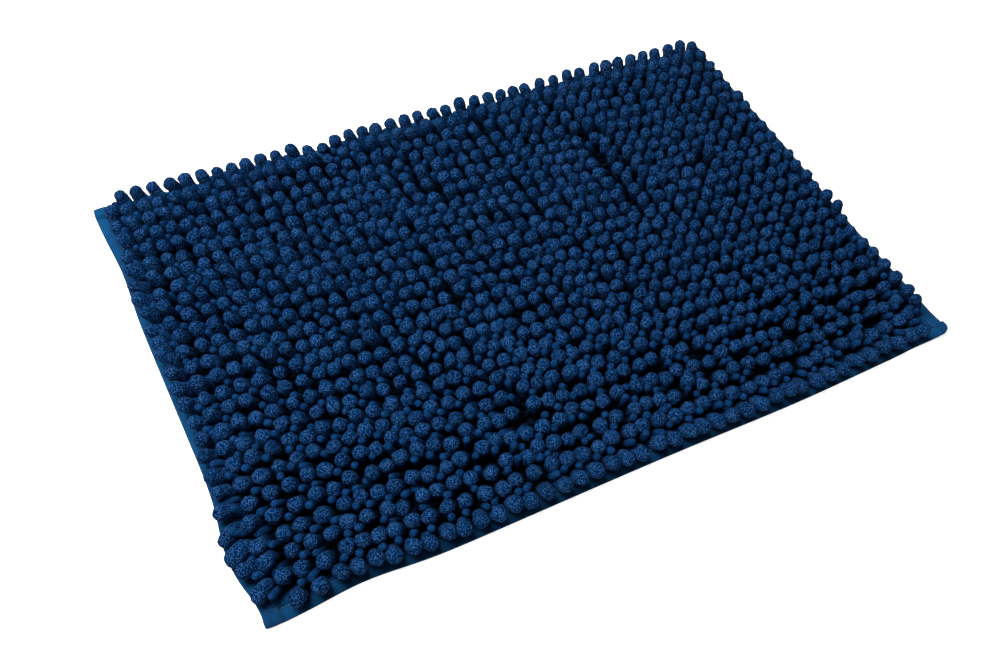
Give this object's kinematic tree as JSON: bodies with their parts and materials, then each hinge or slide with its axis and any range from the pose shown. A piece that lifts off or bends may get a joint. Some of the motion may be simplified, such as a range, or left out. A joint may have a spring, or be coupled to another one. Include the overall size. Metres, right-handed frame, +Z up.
{
  "type": "bath mat",
  "caption": "Rectangular bath mat with a deep chenille noodle pile in rows, a folded and sewn hem of plain cloth, and a latex backing that grips the floor.",
  "frame": {"origin": "centre of the mat's outline at the surface it lies on, under the backing", "axes": "+X along the long sides, +Y across towards the back long side, +Z up out of the pile"},
  "size_m": [0.8, 0.5, 0.0337],
  "materials": {
    "thick_pile": "navy terry chenille, matt with a soft sheen",
    "thin_pile": "navy fine knit chenille, matt",
    "ground_cloth": "brighter blue plain weave, matt",
    "hem_thread": "blue polyester sewing thread, slight sheen",
    "nonslip_backing": "off-white latex, matt, with raised dots"
  },
  "bodies": {
    "root": {"ground_cloth": "ground_cloth", "nonslip_backing": "nonslip_backing", "hem_thread_front": "hem_thread", "hem_thread_back": "hem_thread", "hem_thread_left": "hem_thread", "hem_thread_right": "hem_thread", "thick_pile_row_01": "thick_pile", "thick_pile_row_02": "thick_pile", "thick_pile_row_03": "thick_pile", "thick_pile_row_04": "thick_pile", "thick_pile_row_05": "thick_pile", "thick_pile_row_06": "thick_pile", "thick_pile_row_07": "thick_pile", "thick_pile_row_08": "thick_pile", "thick_pile_row_09": "thick_pile", "thick_pile_row_10": "thick_pile", "thick_pile_row_11": "thick_pile", "thick_pile_row_12": "thick_pile", "thick_pile_row_13": "thick_pile", "thick_pile_row_14": "thick_pile", "thick_pile_row_15": "thick_pile", "thick_pile_row_16": "thick_pile", "thick_pile_row_17": "thick_pile", "thick_pile_row_18": "thick_pile", "thick_pile_row_19": "thick_pile", "thick_pile_row_20": "thick_pile", "thick_pile_row_21": "thick_pile", "thick_pile_row_22": "thick_pile", "thick_pile_row_23": "thick_pile", "thick_pile_row_24": "thick_pile", "thick_pile_row_25": "thick_pile", "thick_pile_row_26": "thick_pile", "thin_pile_row_01": "thin_pile", "thin_pile_row_02": "thin_pile", "thin_pile_row_03": "thin_pile", "thin_pile_row_04": "thin_pile", "thin_pile_row_05": "thin_pile", "thin_pile_row_06": "thin_pile", "thin_pile_row_07": "thin_pile", "thin_pile_row_08": "thin_pile", "thin_pile_row_09": "thin_pile", "thin_pile_row_10": "thin_pile", "thin_pile_row_11": "thin_pile", "thin_pile_row_12": "thin_pile", "thin_pile_row_13": "thin_pile", "thin_pile_row_14": "thin_pile", "thin_pile_row_15": "thin_pile", "thin_pile_row_16": "thin_pile", "thin_pile_row_17": "thin_pile", "thin_pile_row_18": "thin_pile", "thin_pile_row_19": "thin_pile", "thin_pile_row_20": "thin_pile", "thin_pile_row_21": "thin_pile", "thin_pile_row_22": "thin_pile", "thin_pile_row_23": "thin_pile", "thin_pile_row_24": "thin_pile", "thin_pile_row_25": "thin_pile"}
  },
  "joints": []
}
